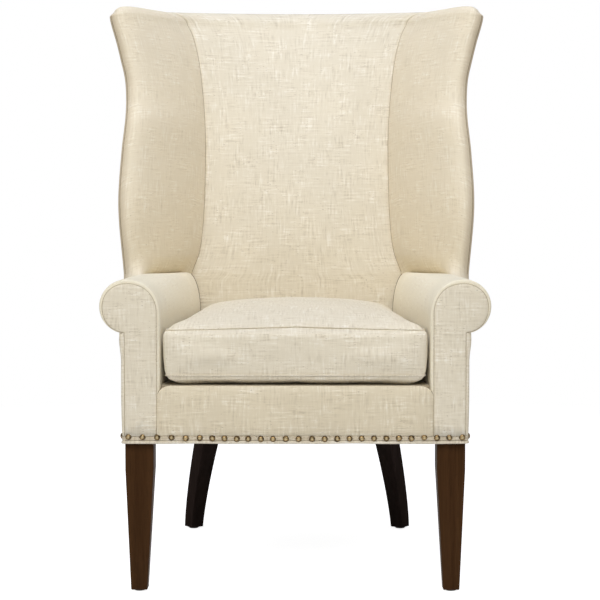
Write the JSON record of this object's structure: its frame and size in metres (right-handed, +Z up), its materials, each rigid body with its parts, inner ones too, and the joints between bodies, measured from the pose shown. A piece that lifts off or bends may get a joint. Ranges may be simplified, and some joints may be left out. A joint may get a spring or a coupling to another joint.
{
  "type": "wingback armchair",
  "caption": "Wingback armchair with a curved high back, scrolled arms, tapered wooden legs and a loose seat cushion that lifts off its deck.",
  "frame": {"origin": "on the floor, under the middle of the chair's depth and width", "axes": "+Z up, the chair faces -Y, +X to the right of someone looking at its front"},
  "size_m": [0.8012, 0.792, 1.1587],
  "materials": {
    "linen": "cream slubbed linen, plain weave, matte",
    "stained_wood": "dark walnut stain, satin lacquer",
    "frame_wood": "plain sawn hardwood, unfinished",
    "antique_brass": "antique brass dome nails on a linen band",
    "spring_steel": "bare drawn wire",
    "webbing": "jute webbing and felt",
    "cambric": "black non-woven dust cover",
    "glide_plastic": "dark brown nail-on glide"
  },
  "bodies": {
    "chair_body": {"front_leg_right": "stained_wood", "front_leg_left": "stained_wood", "back_leg_right": "stained_wood", "back_leg_left": "stained_wood", "glide_front_right": "glide_plastic", "glide_front_left": "glide_plastic", "glide_back_right": "glide_plastic", "glide_back_left": "glide_plastic", "front_rail": "frame_wood", "back_rail": "frame_wood", "side_rail_right": "frame_wood", "side_rail_left": "frame_wood", "corner_block_front_right": "frame_wood", "corner_block_front_left": "frame_wood", "corner_block_back_right": "frame_wood", "corner_block_back_left": "frame_wood", "back_post_right": "frame_wood", "back_post_left": "frame_wood", "back_top_rail": "frame_wood", "back_tuck_rail": "frame_wood", "wing_board_right": "frame_wood", "wing_board_left": "frame_wood", "inside_arm_right": "linen", "inside_arm_left": "linen", "arm_facing_right": "linen", "arm_facing_left": "linen", "arm_stump_right": "frame_wood", "arm_stump_left": "frame_wood", "arm_rail_right": "frame_wood", "arm_rail_left": "frame_wood", "deck_pad": "webbing", "seat_spring_1": "spring_steel", "seat_spring_2": "spring_steel", "seat_spring_3": "spring_steel", "seat_spring_4": "spring_steel", "dust_cover": "cambric", "inside_back": "linen", "back_web_1": "webbing", "back_web_2": "webbing", "back_web_3": "webbing", "inside_wing_right": "linen", "inside_wing_left": "linen", "outside_arm_right": "linen", "outside_arm_left": "linen", "outside_wing_right": "linen", "outside_wing_left": "linen", "outside_back": "linen", "front_border": "linen", "nail_band_front": "antique_brass", "nail_band_right": "antique_brass", "nail_band_left": "antique_brass", "nail_band_back": "antique_brass", "bottom_welt": "linen"},
    "loose_cushion": {"seat_cushion": "linen"}
  },
  "joints": [
    {"name": "cushion_lift", "type": "slide", "parent": "chair_body", "child": "loose_cushion", "axis": [0, 0, 1], "range_m": [0, 0.3]}
  ]
}
